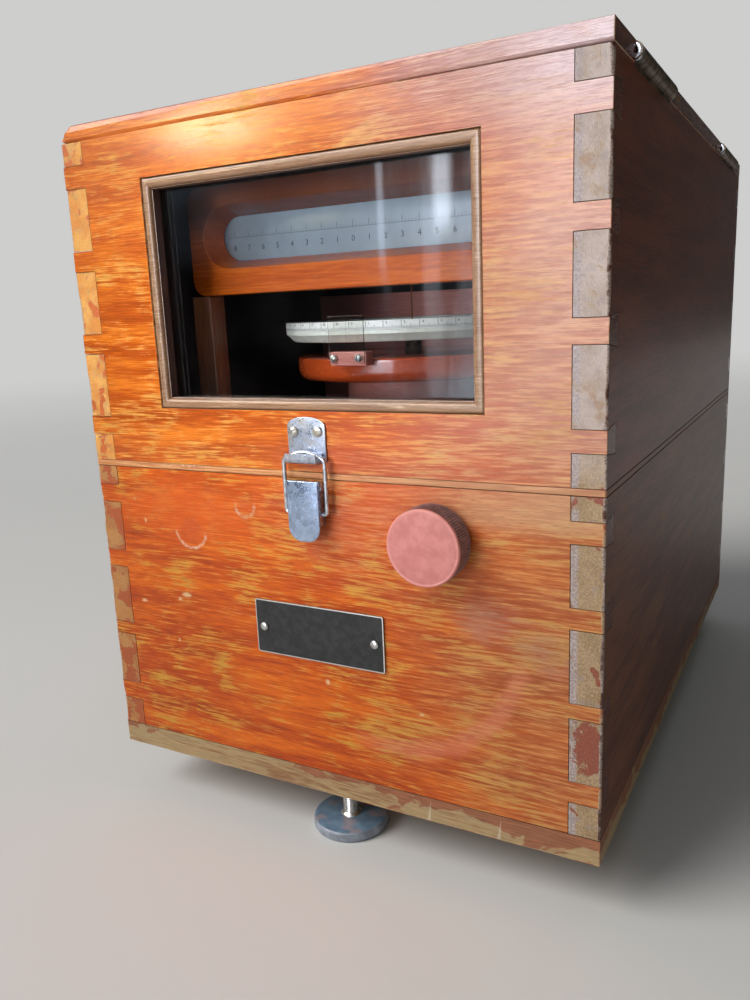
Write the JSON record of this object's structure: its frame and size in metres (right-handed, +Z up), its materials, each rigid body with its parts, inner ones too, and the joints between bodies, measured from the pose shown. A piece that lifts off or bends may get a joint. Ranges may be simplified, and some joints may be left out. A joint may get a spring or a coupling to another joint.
{
  "type": "laboratory electrodynamometer",
  "caption": "Light-spot torsion electrodynamometer in a dovetailed mahogany case with glazed hinged hood, toggle latch, worm-driven graduated drum and screw feet.",
  "frame": {"origin": "middle of the footprint, on the plane of the three feet", "axes": "+X to the right seen from the window side, +Y from the front towards the rear hinge, +Z up"},
  "size_m": [0.3077, 0.4914, 0.4033],
  "materials": {
    "mahogany": "worn orange-red varnish",
    "mahogany_dark": "varnished, dark",
    "base_wood": "varnish worn to bare wood",
    "black_deck": "matt black stain",
    "glass": "clear",
    "nickel": "pitted nickel plate",
    "steel": "turned",
    "brass": "tarnished",
    "knob_red": "aged salmon-red moulding",
    "foot_grey": "dull grey, worn",
    "drum_white": "ivory with printed divisions",
    "opal": "opal, printed divisions",
    "copper": "varnished winding",
    "plate_black": "black enamel, thin silver border",
    "mirror": "silvered",
    "enamel": "black enamel",
    "ebonite": "polished ebonite"
  },
  "bodies": {
    "case": {"baseboard": "base_wood", "case_front_board": "mahogany", "case_rear_board": "mahogany", "case_left_board": "mahogany", "case_right_board": "mahogany", "parting_bead": "mahogany", "deck_panel": "black_deck", "case_hinge_leaf": "brass", "nameplate": "plate_black", "nameplate_screw_left": "nickel", "nameplate_screw_right": "nickel", "latch_base": "nickel", "drum_table": "mahogany", "cursor_block": "mahogany_dark", "cursor_plate": "glass", "cursor_screw_left": "nickel", "cursor_screw_right": "nickel", "scale_bar": "mahogany", "opal_scale": "opal", "scale_upright_left": "mahogany_dark", "scale_upright_right": "mahogany_dark", "partition_panel": "mahogany_dark", "fixed_coil_front": "copper", "fixed_coil_rear": "copper", "return_mirror": "mirror", "lamp_house": "enamel", "lamp_bulb": "glass", "worm_bearing": "brass", "terminal_strip": "ebonite"},
    "hood": {"hood_front_board": "mahogany", "hood_rear_board": "mahogany", "hood_left_board": "mahogany", "hood_right_board": "mahogany", "window_moulding": "mahogany", "window_glass": "glass", "hood_hinge_leaf": "brass", "latch_keeper": "nickel", "keeper_screw_left": "nickel", "keeper_screw_right": "nickel", "lid_side_leaf_front": "brass", "lid_side_leaf_rear": "brass"},
    "lid": {"top_lid": "mahogany", "lid_leaf_front": "brass", "lid_leaf_rear": "brass"},
    "latch_lever": {"latch_lever": "nickel"},
    "latch_bail": {"latch_bail": "nickel"},
    "knob_spindle": {"knob": "knob_red", "worm_shaft": "steel"},
    "torsion_head": {"drum_dial": "drum_white", "drum_spindle": "steel", "worm_wheel": "brass"},
    "moving_system": {"moving_coil": "copper", "coil_mirror": "mirror"},
    "foot_front": {"levelling_foot_front": "foot_grey"},
    "foot_rear_left": {"levelling_foot_rear_left": "foot_grey"},
    "foot_rear_right": {"levelling_foot_rear_right": "foot_grey"},
    "terminal_1": {"terminal_nut_1": "brass"},
    "terminal_2": {"terminal_nut_2": "brass"},
    "terminal_3": {"terminal_nut_3": "brass"},
    "terminal_4": {"terminal_nut_4": "brass"}
  },
  "joints": [
    {"name": "hood_hinge", "type": "hinge", "parent": "case", "child": "hood", "pos_m": [-0.0015, 0.22705, 0.2146], "axis": [-1, 0, 0], "range_deg": [0, 100]},
    {"name": "lid_hinge", "type": "hinge", "parent": "hood", "child": "lid", "pos_m": [0.1499, -0.00345, 0.3992], "axis": [0, 1, 0], "range_deg": [0, 105]},
    {"name": "latch_lever_pivot", "type": "hinge", "parent": "case", "child": "latch_lever", "pos_m": [-0.0015, -0.23505, 0.209], "axis": [-1, 0, 0], "range_deg": [0, 75]},
    {"name": "latch_bail_pivot", "type": "hinge", "parent": "latch_lever", "child": "latch_bail", "pos_m": [-0.0015, -0.23505, 0.1955], "axis": [1, 0, 0], "range_deg": [0, 47.5]},
    {"name": "knob_turn", "type": "hinge", "parent": "case", "child": "knob_spindle", "pos_m": [0.069, -0.24575, 0.186], "axis": [0, 1, 0], "range_deg": [-9000, 9000]},
    {"name": "drum_turn", "type": "hinge", "parent": "case", "child": "torsion_head", "pos_m": [-0.0015, -0.10225, 0.2797], "axis": [0, 0, 1], "range_deg": [-180, 180]},
    {"name": "coil_swing", "type": "hinge", "parent": "case", "child": "moving_system", "pos_m": [-0.0015, -0.10225, 0.116], "axis": [0, 0, 1], "range_deg": [-10, 10], "stiffness_Nm_per_rad": 0.02},
    {"name": "foot_front_screw", "type": "slide", "parent": "case", "child": "foot_front", "axis": [0, 0, 1], "range_m": [-0.015, 0.0225]},
    {"name": "foot_rear_left_screw", "type": "slide", "parent": "case", "child": "foot_rear_left", "axis": [0, 0, 1], "range_m": [-0.015, 0.0225]},
    {"name": "foot_rear_right_screw", "type": "slide", "parent": "case", "child": "foot_rear_right", "axis": [0, 0, 1], "range_m": [-0.015, 0.0225]},
    {"name": "terminal_1_nut", "type": "slide", "parent": "case", "child": "terminal_1", "axis": [0, 1, 0], "range_m": [0, 0.0052]},
    {"name": "terminal_2_nut", "type": "slide", "parent": "case", "child": "terminal_2", "axis": [0, 1, 0], "range_m": [0, 0.0052]},
    {"name": "terminal_3_nut", "type": "slide", "parent": "case", "child": "terminal_3", "axis": [0, 1, 0], "range_m": [0, 0.0052]},
    {"name": "terminal_4_nut", "type": "slide", "parent": "case", "child": "terminal_4", "axis": [0, 1, 0], "range_m": [0, 0.0052]}
  ],
  "couplings": [
    {"joint": "latch_bail_pivot", "follows": "latch_lever_pivot", "ratio": 0.63},
    {"joint": "drum_turn", "follows": "knob_turn", "ratio": -0.02}
  ]
}
